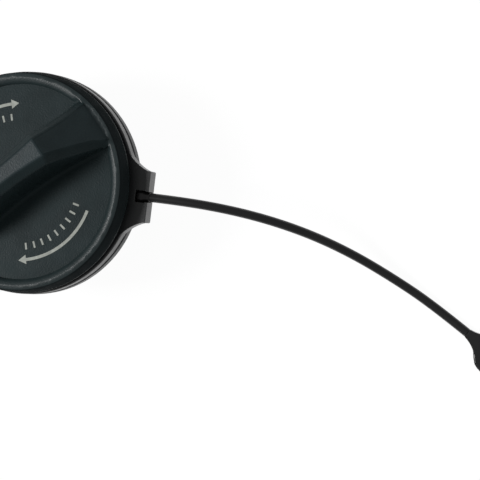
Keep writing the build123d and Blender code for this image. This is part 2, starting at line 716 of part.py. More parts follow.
def pressure_plate():
    """Round valve plate with a spring rim, a guide sleeve and ports to the vacuum valve."""
    bore = VACUUM_STEM_RADIUS + VACUUM_STEM_CLEARANCE
    rim_inner = PRESSURE_SPRING_RADIUS + PRESSURE_SPRING_WIRE + SPRING_GAP
    plate = turned(
        [
            (bore, plate_low),
            (PLATE_RADIUS, plate_low),
            (PLATE_RADIUS, plate_top + PLATE_RIM_HEIGHT),
            (rim_inner, plate_top + PLATE_RIM_HEIGHT),
            (rim_inner, plate_top),
            (PLATE_SLEEVE_RADIUS, plate_top),
            (PLATE_SLEEVE_RADIUS, plate_top + PLATE_SLEEVE_HEIGHT),
            (bore, plate_top + PLATE_SLEEVE_HEIGHT),
        ]
    )
    cutter = Cylinder(PLATE_PORT_RADIUS, PLATE_THICKNESS * 2 + CUT_OVERRUN)
    port = Pos(PLATE_PORT_CIRCLE, 0, plate_low) * cutter
    return plate - around(port, PLATE_PORTS)


def vacuum_valve():
    """Mushroom valve that hangs through the pressure plate and closes against its seal."""
    disc_top = seat_top - VACUUM_RIM_HEIGHT
    disc_low = disc_top - VACUUM_DISC_THICKNESS
    groove = VACUUM_STEM_RADIUS - CLIP_GROOVE_DEPTH
    return turned(
        [
            (0, disc_low),
            (VACUUM_DISC_RADIUS, disc_low),
            (VACUUM_DISC_RADIUS, seat_top),
            (VACUUM_DISC_RADIUS - VACUUM_RIM_WALL, seat_top),
            (VACUUM_DISC_RADIUS - VACUUM_RIM_WALL, disc_top),
            (VACUUM_STEM_RADIUS, disc_top),
            (VACUUM_STEM_RADIUS, clip_low),
            (groove, clip_low),
            (groove, clip_low + CLIP_THICKNESS),
            (VACUUM_STEM_RADIUS, clip_low + CLIP_THICKNESS),
            (VACUUM_STEM_RADIUS, vacuum_stem_top),
            (0, vacuum_stem_top),
        ]
    )


def stem_clip():
    """Push-on washer in the vacuum stem's groove, which the vacuum spring bears on."""
    bore = VACUUM_STEM_RADIUS - CLIP_GROOVE_DEPTH + CLIP_GAP
    return tube(CLIP_RADIUS, bore, clip_low + CLIP_GAP, clip_low + CLIP_THICKNESS - CLIP_GAP)


def spring_cup():
    """Pressed steel cup that seats the pressure spring under the web."""
    lip_inner = PRESSURE_SPRING_RADIUS - PRESSURE_SPRING_WIRE - SPRING_GAP - SPRING_CUP_SHEET
    return turned(
        [
            (lip_inner, spring_cup_low - SPRING_CUP_LIP),
            (lip_inner + SPRING_CUP_SHEET, spring_cup_low - SPRING_CUP_LIP),
            (lip_inner + SPRING_CUP_SHEET, spring_cup_low),
            (SPRING_CUP_RADIUS, spring_cup_low),
            (SPRING_CUP_RADIUS, web_low),
            (SPRING_CUP_BORE, web_low),
            (SPRING_CUP_BORE, spring_cup_low),
            (lip_inner, spring_cup_low),
        ]
    )


def main():
    """Build every node and write it."""
    route = strap_route()
    radii = route_radii(route)
    strap, strap_length = tether_strap(route, radii)
    nodes = {
        "closure_body": closure_body(),
        "neck_gasket": neck_gasket(),
        "tether_ring": tether_ring(),
        "strap_head": strap_head(),
        "tether_strap": strap,
        "strap_eyelet": strap_eyelet(route),
        "grip_cover": grip_cover(),
        "drive_ring": drive_ring(),
        "valve_retainer": valve_retainer(),
        "valve_housing": valve_housing(),
        "housing_seal": housing_seal(),
        "pressure_seal": pressure_seal(),
        "pressure_plate": pressure_plate(),
        "pressure_spring": coil(
            PRESSURE_SPRING_RADIUS, PRESSURE_SPRING_WIRE, plate_top, spring_cup_low, PRESSURE_SPRING_TURNS
        ),
        "vacuum_valve": vacuum_valve(),
        "vacuum_spring": coil(
            VACUUM_SPRING_RADIUS, VACUUM_SPRING_WIRE, plate_top, clip_low, VACUUM_SPRING_TURNS
        ),
        "stem_clip": stem_clip(),
        "spring_cup": spring_cup(),
    }
    print("strap bend radii", [round(radius) for radius in radii])
    section = math.pi * (STRAP_DIAMETER / 2) ** 2
    print("strap length", round(strap_length, 1), "volume", round(strap.volume, 1),
          "section x length", round(section * strap_length, 1))
    os.makedirs("parts", exist_ok=True)
    for name, shape in nodes.items():
        export_step(shape, f"parts/{name}.step")


main()
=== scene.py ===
import logging
import math
from collections.abc import Callable, Sequence
from dataclasses import dataclass
from enum import Enum, IntEnum

import bmesh
import bpy
from mathutils import Matrix, Vector
from mathutils.geometry import intersect_point_line


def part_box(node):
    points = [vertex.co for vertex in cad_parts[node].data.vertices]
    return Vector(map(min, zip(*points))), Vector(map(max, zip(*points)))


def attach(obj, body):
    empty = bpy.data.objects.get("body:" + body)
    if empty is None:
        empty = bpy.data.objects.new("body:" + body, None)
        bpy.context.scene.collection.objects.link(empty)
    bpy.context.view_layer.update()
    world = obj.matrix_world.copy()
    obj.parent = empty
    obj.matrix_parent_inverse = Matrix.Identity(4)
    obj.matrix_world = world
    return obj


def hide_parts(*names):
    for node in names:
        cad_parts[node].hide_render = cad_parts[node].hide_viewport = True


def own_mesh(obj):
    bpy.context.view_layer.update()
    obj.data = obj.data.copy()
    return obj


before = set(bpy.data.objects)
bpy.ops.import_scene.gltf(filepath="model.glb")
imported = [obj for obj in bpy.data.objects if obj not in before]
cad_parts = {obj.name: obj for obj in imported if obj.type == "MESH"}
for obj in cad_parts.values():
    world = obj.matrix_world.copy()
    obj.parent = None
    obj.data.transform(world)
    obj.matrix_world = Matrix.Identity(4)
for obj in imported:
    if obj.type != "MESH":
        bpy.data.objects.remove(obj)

LOG = logging.getLogger("filler_cap")
MM = 0.001  # one millimetre in metres
NODE_MERGE = 0.002  # points of a node closer than this many millimetres become one
FLAT_DEGREES = 0.4  # triangles that meet flatter than this become one face
NOISE_RANGE = (0.3, 0.7)  # values of a noise between which roughness wanders
TONE_RANGE = (0.35, 0.65)  # values of a noise at which the darker and lighter tones stand
Point = tuple[float, float, float]
Colour = tuple[float, float, float]


class Body(str, Enum):
    """Bodies of the cap that move against each other."""

    CLOSURE = "closure"
    GRIP = "grip"
    TETHER = "tether"
    PRESSURE = "pressure_valve"


class Slot(str, Enum):
    """Finishes that the record names."""

    COVER = "cover_plastic"
    CLOSURE = "closure_plastic"
    RING = "tether_plastic"
    STRAP = "strap_plastic"
    VALVE = "valve_plastic"
    SEAL = "seal_rubber"
    SPRING = "spring_steel"


class CoverPart(IntEnum):
    """Parts of the grip cover, as numbers of its materials: the upright wall takes painted shade,
    the ridge and the ramps take painted light, and the crest takes a glossier grain.
    """

    GRAIN = 0
    SIDE = 1
    RIDGE = 2
    CREST = 3
    RAMP = 4


# ---------------------------------------------------------------- finishes


@dataclass(frozen=True)
class Finish:
    """Base of every finish: a principled shader with its colour broken up by soft mottling.

    Attributes:
        name: Name of the material.
        colour: Base colour, linear.
        roughness: Mean roughness.
        mottle: How far the colour wanders either way, as a share.
        mottle_size: Size of the mottling in metres.
        spread: How far the roughness wanders either way, as a share.
    """

    name: str
    colour: Colour
    roughness: float
    mottle: float = 0.12
    mottle_size: float = 0.012
    spread: float = 0.1

    def material(self) -> bpy.types.Material:
        """Build the node material once and return it.

        Returns:
            The material, shared by every piece that takes this finish.
        """
        found = bpy.data.materials.get(self.name)
        if found:
            return found
        material = bpy.data.materials.new(self.name)
        material.use_nodes = True
        tree = material.node_tree
        shader = tree.nodes["Principled BSDF"]
        coords = tree.nodes.new("ShaderNodeTexCoord")
        self._colour(tree, shader, coords)
        self._surface(tree, shader, coords)
        return material

    def _noise(self, tree: bpy.types.NodeTree, coords: bpy.types.Node, size: float,
               detail: float = 3.0) -> bpy.types.Node:
        """Add a noise texture on object coordinates.

        Args:
            tree: Node tree to add to.
            coords: Its texture coordinate node.
            size: Size of one lump in metres.
            detail: Octaves of finer noise.

        Returns:
            The noise node.
        """
        noise = tree.nodes.new("ShaderNodeTexNoise")
        noise.inputs["Scale"].default_value = 1.0 / size
        noise.inputs["Detail"].default_value = detail
        tree.links.new(coords.outputs["Object"], noise.inputs["Vector"])
        return noise

    def _vary_roughness(self, tree: bpy.types.NodeTree, shader: bpy.types.Node,
                        noise: bpy.types.Node) -> None:
        """Let the roughness wander about its mean with a noise.

        Args:
            tree: Node tree to add to.
            shader: Shader whose roughness varies.
            noise: Noise that it follows.
        """
        node = tree.nodes.new("ShaderNodeMapRange")
        node.inputs["From Min"].default_value = NOISE_RANGE[0]
        node.inputs["From Max"].default_value = NOISE_RANGE[1]
        node.inputs["To Min"].default_value = self.roughness * (1 - self.spread)
        node.inputs["To Max"].default_value = self.roughness * (1 + self.spread)
        tree.links.new(noise.outputs["Fac"], node.inputs["Value"])
        tree.links.new(node.outputs["Result"], shader.inputs["Roughness"])

    def _bump(self, tree: bpy.types.NodeTree, shader: bpy.types.Node, noise: bpy.types.Node,
              strength: float, depth: float) -> None:
        """Raise the surface by a noise.

        Args:
            tree: Node tree to add to.
            shader: Shader that takes the bump.
            noise: Noise that gives the height.
            strength: Strength of the bump.
            depth: Height of the bump in metres.
        """
        bump = tree.nodes.new("ShaderNodeBump")
        bump.inputs["Strength"].default_value = strength
        bump.inputs["Distance"].default_value = depth
        tree.links.new(noise.outputs["Fac"], bump.inputs["Height"])
        tree.links.new(bump.outputs["Normal"], shader.inputs["Normal"])

    def _colour(self, tree: bpy.types.NodeTree, shader: bpy.types.Node,
                coords: bpy.types.Node) -> None:
        """Mix a darker and a lighter tone of the colour by a large soft noise."""
        noise = self._noise(tree, coords, self.mottle_size)
        ramp = tree.nodes.new("ShaderNodeValToRGB")
        for element, share in zip(ramp.color_ramp.elements, (1 - self.mottle, 1 + self.mottle)):
            element.color = (*(min(1.0, c * share) for c in self.colour), 1.0)
        for element, position in zip(ramp.color_ramp.elements, TONE_RANGE):
            element.position = position
        tree.links.new(noise.outputs["Fac"], ramp.inputs["Fac"])
        tree.links.new(ramp.outputs["Color"], shader.inputs["Base Color"])

    def _surface(self, tree: bpy.types.NodeTree, shader: bpy.types.Node,
                 coords: bpy.types.Node) -> None:
        """Break the gloss up a little; finishes with a texture of their own add to this."""
        self._vary_roughness(tree, shader, self._noise(tree, coords, self.mottle_size / 3))


@dataclass(frozen=True)
class GrainedPlastic(Finish):
    """Moulded plastic with a fine spark-eroded grain.

    Attributes:
        grain_size: Size of the grain in metres.
        grain_depth: Depth of the grain in metres.
        grain_detail: Octaves of the grain's noise.
        gloss: Specular level of the shader.
    """

    grain_size: float = 0.0004
    grain_depth: float = 0.00002
    grain_detail: float = 2.0
    gloss: float = 0.5

    def _surface(self, tree: bpy.types.NodeTree, shader: bpy.types.Node,
                 coords: bpy.types.Node) -> None:
        """Add the grain as bump over the gloss variation."""
        super()._surface(tree, shader, coords)
        shader.inputs["Specular IOR Level"].default_value = self.gloss
        grain = self._noise(tree, coords, self.grain_size, self.grain_detail)
        self._bump(tree, shader, grain, 1.0, self.grain_depth)


@dataclass(frozen=True)
class DrawnSteel(Finish):
    """Bright steel wire or sheet with faint drawing lines.

    Attributes:
        spread: How far the roughness wanders either way, as a share.
        line_size: Width of the drawing lines in metres.
        line_stretch: Scale of the pattern along the lines, against 1 across them.
        line_strength: Strength of the lines' bump.
        line_depth: Depth of the lines in metres.
    """

    spread: float = 0.3
    line_size: float = 0.0003
    line_stretch: float = 0.15
    line_strength: float = 0.4
    line_depth: float = 0.00001

    def _surface(self, tree: bpy.types.NodeTree, shader: bpy.types.Node,
                 coords: bpy.types.Node) -> None:
        """Make it metal, with fine lines round the axis."""
        shader.inputs["Metallic"].default_value = 1.0
        stretch = tree.nodes.new("ShaderNodeMapping")
        stretch.inputs["Scale"].default_value = (self.line_stretch, self.line_stretch, 1.0)
        tree.links.new(coords.outputs["Object"], stretch.inputs["Vector"])
        noise = self._noise(tree, coords, self.line_size)
        tree.links.new(stretch.outputs["Vector"], noise.inputs["Vector"])
        self._vary_roughness(tree, shader, noise)
        self._bump(tree, shader, noise, self.line_strength, self.line_depth)


COVER_GRAIN = GrainedPlastic("cover_grain", (0.0148, 0.0234, 0.025), 0.42, grain_size=0.0005,
                             grain_depth=0.00009, gloss=0.07)
# Handle's ridge: a real rubbed, glossier grain, and a lighter colour that is painted light on the
# top.
COVER_RUBBED_AND_PAINTED_LIGHT = GrainedPlastic("cover_rubbed_and_painted_light", (0.020, 0.030, 0.033), 0.40, grain_size=0.0005,
                              grain_depth=0.00008, gloss=0.16)
CREST_RUBBED = GrainedPlastic("crest_rubbed", (0.0148, 0.0234, 0.025), 0.43, grain_size=0.0005,
                              grain_depth=0.00009, gloss=0.33)
# Handle's ramps: a lighter colour that is painted light on them.
RAMP_PAINTED_LIGHT = GrainedPlastic("ramp_painted_light", (0.021, 0.0315, 0.034), 0.42, grain_size=0.0005,
                             grain_depth=0.00008, gloss=0.10)
# Upright wall: a real coarser, duller grain, and a darker colour that is painted shade.
COVER_SIDE_PAINTED_SHADE = GrainedPlastic("cover_side_painted_shade", (0.011, 0.015, 0.016), 0.80, grain_size=0.0006,
                            grain_depth=0.00004, gloss=0.03)
CLOSURE_SATIN = GrainedPlastic("closure_satin", (0.024, 0.026, 0.027), 0.40, grain_size=0.0008,
                               grain_depth=0.00001, gloss=0.28)
RING_SATIN = GrainedPlastic("ring_satin", (0.020, 0.021, 0.022), 0.33, grain_size=0.0007,
                            grain_depth=0.00001, gloss=0.42)
STRAP_GLOSS = GrainedPlastic("strap_gloss", (0.011, 0.011, 0.0115), 0.26, grain_size=0.0009,
                             grain_depth=0.00001, gloss=0.34)
VALVE_ACETAL = GrainedPlastic("valve_acetal", (0.62, 0.61, 0.56), 0.38, mottle=0.04,
                              grain_size=0.0006, grain_depth=0.000006)
DRIVE_ACETAL = GrainedPlastic("drive_acetal", (0.55, 0.55, 0.50), 0.40, mottle=0.04,
                              grain_size=0.0006, grain_depth=0.000006)
SEAL_RUBBER = GrainedPlastic("seal_rubber", (0.020, 0.020, 0.021), 0.62, grain_size=0.0005,
                             grain_depth=0.00001, gloss=0.35)
PRINT_GREY = GrainedPlastic("print_grey", (0.25, 0.265, 0.235), 0.5, mottle=0.18,
                            mottle_size=0.0016)
SPRING_WIRE = DrawnSteel("spring_wire", (0.60, 0.60, 0.60), 0.28, mottle=0.05)
PLATED_SHEET = DrawnSteel("plated_sheet", (0.62, 0.61, 0.58), 0.32, mottle=0.08)


# ---------------------------------------------------------------- modelling helpers


def deselect() -> None:
    """Leave edit mode and deselect every object."""
    if bpy.context.object and bpy.context.object.mode != "OBJECT":
        bpy.ops.object.mode_set(mode="OBJECT")
    bpy.ops.object.select_all(action="DESELECT")


def activate(piece: bpy.types.Object) -> None:
    """Make one object the only selected and the active one."""
    deselect()
    piece.select_set(True)
    bpy.context.view_layer.objects.active = piece


def copy_of_node(node: str, name: str, merge: float = NODE_MERGE) -> bpy.types.Object:
    """Copy a node's mesh and merge its loose triangles into clean faces.

    Args:
        node: Name of the node.
        name: Name of the new piece.
        merge: Points closer than this become one, in millimetres.

    Returns:
        The new piece, active and in object mode.
    """
    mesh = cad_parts[node].data.copy()
    mesh.materials.clear()
    piece = bpy.data.objects.new(name, mesh)
    bpy.context.scene.collection.objects.link(piece)
    activate(piece)
    bpy.ops.object.mode_set(mode="EDIT")
    bpy.ops.mesh.select_all(action="SELECT")
    bpy.ops.mesh.remove_doubles(threshold=merge * MM)
    bpy.ops.mesh.dissolve_limited(angle_limit=math.radians(FLAT_DEGREES))
    bpy.ops.object.mode_set(mode="OBJECT")
    return piece


def bevel_edges(piece: bpy.types.Object, test: Callable[[bmesh.types.BMEdge], bool],
                width: float, segments: int) -> int:
    """Bevel the edges that a test picks.

    Args:
        piece: Piece to work on.
        test: Says whether an edge is bevelled.
        width: Width of the bevel in metres.
        segments: Faces across the bevel.

    Returns:
        How many edges were bevelled.
    """
    activate(piece)
    bpy.ops.object.mode_set(mode="EDIT")
    bpy.ops.mesh.select_mode(type="EDGE")
    bpy.ops.mesh.select_all(action="DESELECT")
    work = bmesh.from_edit_mesh(piece.data)
    picked = [edge for edge in work.edges if len(edge.link_faces) == 2 and test(edge)]
    for edge in picked:
        edge.select_set(True)
    bmesh.update_edit_mesh(piece.data)
    if picked:
        bpy.ops.mesh.bevel(offset=width, segments=segments, affect="EDGES", clamp_overlap=False)
    bpy.ops.object.mode_set(mode="OBJECT")
    return len(picked)


def smooth(piece: bpy.types.Object, degrees: float = 32.0) -> None:
    """Shade a piece smooth, with edges sharper than an angle kept."""
    activate(piece)
    bpy.ops.object.shade_smooth_by_angle(angle=math.radians(degrees))
    bpy.ops.object.modifier_add(type="WEIGHTED_NORMAL")
    piece.modifiers[-1].keep_sharp = True
    bpy.ops.object.modifier_apply(modifier=piece.modifiers[-1].name)


def radius_of(place: Vector) -> float:
    """Distance of a point from the cap's axis, in millimetres."""
    return math.hypot(place.x, place.y) / MM


def soften(node: str, width: float, degrees: float = 30.0,
           test: Callable[[Vector], bool] | None = None, segments: int = 2,
           convex_above: float = math.inf, merge: float = NODE_MERGE,
           shape: Callable[[bpy.types.Object], int] | None = None) -> bpy.types.Object:
    """Copy a node and round its sharp edges, without leaving the node's box.

    Args:
        node: Name of the node.
        width: Width of the rounding in millimetres.
        degrees: Edges sharper than this are rounded.
        test: Says whether both ends of an edge lie where edges are rounded.
        segments: Faces across the rounding.
        convex_above: Above this height only outward edges are rounded, in millimetres.
        merge: Points closer than this become one, in millimetres.
        shape: Changes the copy before its edges are rounded.

    Returns:
        The softened copy.
    """
    piece = copy_of_node(node, f"{node}_soft", merge)
    if shape:
        LOG.info("%s: %d points shaped", node, shape(piece))

    def sharp(edge: bmesh.types.BMEdge) -> bool:
        """Whether an edge is sharp enough and in the right place."""
        inside = test is None or all(test(vertex.co) for vertex in edge.verts)
        high = min(vertex.co.z for vertex in edge.verts) > convex_above * MM
        if not inside or high and not edge.is_convex:
            return False
        return edge.calc_face_angle(0.0) > math.radians(degrees)

    count = bevel_edges(piece, sharp, width * MM, segments)
    low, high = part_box(node)
    for vertex in piece.data.vertices:
        limits = zip(vertex.co, low, high)
        vertex.co = [min(max(value, least), most) for value, least, most in limits]
    smooth(piece)
    LOG.info("%s: %d edges rounded", node, count)
    return piece


def dress(piece: bpy.types.Object, finish: Finish, body: Body,
          nodes: Sequence[str] = ()) -> None:
    """Give a new piece its finish, body and the nodes it stands for.

    Args:
        piece: The new piece.
        finish: Finish of its surface.
        body: Body that it moves with.
        nodes: Nodes that it stands for.
    """
    piece.data.materials.clear()
    piece.data.materials.append(finish.material())
    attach(piece, body.value)
    if nodes:
        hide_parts(*nodes)
    LOG.info("piece %s: %d faces", piece.name, len(getattr(piece.data, "polygons", [])))


def dress_node(node: str, finish: Finish) -> None:
    """Give a node's own mesh its finish.

    Args:
        node: Name of the node.
        finish: Finish of its surface.
    """
    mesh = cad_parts[node].data
    if mesh.materials:
        mesh.materials[0] = finish.material()
    else:
        mesh.materials.append(finish.material())
    LOG.info("node %s takes %s", node, finish.name)


# ---------------------------------------------------------------- studio


@dataclass
class Studio:
    """Pale floor, soft lamp, plain world and the camera.

    Attributes:
        target: Point that the camera looks at, in metres.
        azimuth: Bearing of the camera from the target, in degrees.
        elevation: Height of the camera above the horizon, in degrees.
        roll: Turn of the camera about its line of sight, in degrees.
        distance: Distance from the target to the camera, in metres.
        lens: Focal length in millimetres.
        sensor: Width of the camera's sensor in millimetres.
        floor_colour: Colour of the floor, linear.
        floor_roughness: Roughness of the floor.
        floor_size: Side of the floor in metres.
        floor_glow: Strength of the white that the floor shows.
        floor_share: Share of that white in what the camera sees of the floor.
        key_place: Centre of the lamp, in metres.
        key_size: Side of the lamp's face, in metres.
        key_power: Power of the lamp in watts.
        key_aim: Point that the lamp faces, in metres.
        sky_strength: Strength of the white world.
    """

    target: Point = (0.0540, -0.0636, 0.0334)
    azimuth: float = -37.74
    elevation: float = 76.0
    roll: float = -87.2
    distance: float = 0.5
    lens: float = 105.8
    sensor: float = 36.0
    floor_colour: Colour = (0.86, 0.86, 0.86)
    floor_roughness: float = 0.9
    floor_size: float = 60.0
    floor_glow: float = 1.03
    floor_share: float = 0.93
    key_place: Point = (-0.611, 0.382, 0.922)
    key_size: float = 0.32
    key_power: float = 11.6
    key_aim: Point = (0.02, -0.02, 0.03)
    sky_strength: float = 0.34

    def camera(self) -> None:
        """Place the camera at the viewing angle."""
        azimuth, elevation, roll = (
            math.radians(turn) for turn in (self.azimuth, self.elevation, self.roll))
        back = Vector((math.cos(azimuth) * math.cos(elevation),
                       math.sin(azimuth) * math.cos(elevation), math.sin(elevation)))
        right = Vector((0.0, 0.0, 1.0)).cross(back).normalized()
        right = Matrix.Rotation(roll, 3, back) @ right
        up = back.cross(right)
        data = bpy.data.cameras.new("camera")
        data.lens = self.lens
        data.sensor_width = self.sensor
        camera = bpy.data.objects.new("camera", data)
        bpy.context.scene.collection.objects.link(camera)
        camera.location = Vector(self.target) + back * self.distance
        camera.rotation_euler = Matrix((right, up, back)).transposed().to_euler()
        bpy.context.scene.camera = camera

    def floor(self) -> None:
        """Lay the pale floor, seen as white and still taking a shadow."""
        deselect()
        bpy.ops.mesh.primitive_plane_add(size=self.floor_size, location=(0.0, 0.0, 0.0))
        floor = bpy.context.object
        floor.name = "floor"
        material = bpy.data.materials.new("floor_paper")
        material.use_nodes = True
        tree = material.node_tree
        paper = tree.nodes["Principled BSDF"]
        paper.inputs["Base Color"].default_value = (*self.floor_colour, 1.0)
        paper.inputs["Roughness"].default_value = self.floor_roughness
        glow = tree.nodes.new("ShaderNodeEmission")
        glow.inputs["Strength"].default_value = self.floor_glow
        path = tree.nodes.new("ShaderNodeLightPath")
        share = tree.nodes.new("ShaderNodeMath")
        share.operation = "MULTIPLY_ADD"
        share.use_clamp = True
        share.inputs[1].default_value = self.floor_share
        through = tree.nodes.new("ShaderNodeMath")
        through.operation = "ADD"
        mix = tree.nodes.new("ShaderNodeMixShader")
        tree.links.new(path.outputs["Is Glossy Ray"], through.inputs[0])
        tree.links.new(path.outputs["Is Transmission Ray"], through.inputs[1])
        tree.links.new(path.outputs["Is Camera Ray"], share.inputs[0])
        tree.links.new(through.outputs["Value"], share.inputs[2])
        tree.links.new(share.outputs["Value"], mix.inputs["Fac"])
        tree.links.new(paper.outputs["BSDF"], mix.inputs[1])
        tree.links.new(glow.outputs["Emission"], mix.inputs[2])
        tree.links.new(mix.outputs["Shader"], tree.nodes["Material Output"].inputs["Surface"])
        floor.data.materials.append(material)

    def lamp(self) -> None:
        """Add the soft square lamp, aimed at the cap."""
        data = bpy.data.lights.new("key", "AREA")
        data.size = self.key_size
        data.energy = self.key_power
        lamp = bpy.data.objects.new("key", data)
        bpy.context.scene.collection.objects.link(lamp)
        lamp.location = self.key_place
        aim = Vector(self.key_aim) - Vector(self.key_place)
        lamp.rotation_euler = aim.to_track_quat("-Z", "Y").to_euler()

    def world(self) -> None:
        """Set the plain white world and the plain view."""
        world = bpy.data.worlds.new("world")
        world.use_nodes = True
        sky = world.node_tree.nodes["Background"]
        sky.inputs["Color"].default_value = (1.0, 1.0, 1.0, 1.0)
        sky.inputs["Strength"].default_value = self.sky_strength
        bpy.context.scene.world = world
        bpy.context.scene.view_settings.view_transform = "Standard"

    def build(self) -> None:
        """Set up the whole studio."""
        self.camera()
        self.floor()
        self.lamp()
        self.world()
        LOG.info("studio ready")


# ---------------------------------------------------------------- tether


@dataclass
class Tether:
    """Loose ring with its ear, and the moulded strap that lies on the ground.

    Attributes:
        diameter: Diameter of the strap, in metres.
        route: Control points of the strap's centre line, in millimetres.
        section_steps: Bevel resolution of the strap's round section.
        span_steps: Steps along each span of the strap.
        strap_round: Rounding of the eyelet's and the head's edges, in millimetres.
        ring_round: Rounding of the ring's edges, in millimetres.
        merge: Points of the ring and the eyelet closer than this become one, in millimetres.
    """

    diameter: float = 0.0033
    route: tuple[Point, ...] = (
        (35.077, -31.583, 31.2),
        (44.738, -40.282, 31.2),
        (56.5, -52.2, 28.8),
        (65.9, -63.5, 23.2),
        (74.1, -75.6, 16.0),
        (81.2, -88.9, 9.2),
        (87.7, -104.1, 4.3),
        (93.5, -119.5, 1.75),
        (98.1, -135.2, 1.75),
    )
    section_steps: int = 8
    span_steps: int = 24
    strap_round: float = 0.4
    ring_round: float = 0.22
    merge: float = 0.03

    def strap(self) -> bpy.types.Object:
        """Draw the strap as one smooth spline with a round section.

        Returns:
            The strap.
        """
        curve = bpy.data.curves.new("strap", "CURVE")
        curve.dimensions = "3D"
        curve.bevel_depth = self.diameter / 2
        curve.bevel_resolution = self.section_steps
        curve.resolution_u = self.span_steps
        curve.use_fill_caps = True
        spline = curve.splines.new("NURBS")
        spline.points.add(len(self.route) - 1)
        for point, place in zip(spline.points, self.route):
            point.co = (*(value * MM for value in place), 1.0)
        spline.order_u = 3
        spline.use_endpoint_u = True
        strap = bpy.data.objects.new("strap", curve)
        bpy.context.scene.collection.objects.link(strap)
        return strap

    def length(self, strap: bpy.types.Object) -> float:
        """Measure the strap along its centre line, in metres."""
        bare = strap.copy()
        bare.data = strap.data.copy()
        bare.data.bevel_depth = 0.0
        bpy.context.scene.collection.objects.link(bare)
        bpy.context.view_layer.update()
        graph = bpy.context.evaluated_depsgraph_get()
        mesh = bpy.data.meshes.new_from_object(bare.evaluated_get(graph))
        places = [vertex.co.copy() for vertex in mesh.vertices]
        bpy.data.meshes.remove(mesh)
        data = bare.data
        bpy.data.objects.remove(bare)
        bpy.data.curves.remove(data)
        return sum((b - a).length for a, b in zip(places, places[1:]))

    def build(self) -> None:
        """Build the ring, the head and the strap."""
        strap = self.strap()
        dress(strap, STRAP_GLOSS, Body.TETHER, ["tether_strap"])
        eyelet = soften("strap_eyelet", self.strap_round, segments=3, merge=self.merge)
        dress(eyelet, STRAP_GLOSS, Body.TETHER, ["strap_eyelet"])
        length = self.length(strap)
        ring = soften("tether_ring", self.ring_round, merge=self.merge)
        dress(ring, RING_SATIN, Body.TETHER, ["tether_ring"])
        head = soften("strap_head", self.strap_round, segments=3)
        dress(head, STRAP_GLOSS, Body.TETHER, ["strap_head"])
        LOG.info("tether ready, strap %.1f mm", length / MM)


# ---------------------------------------------------------------- grip


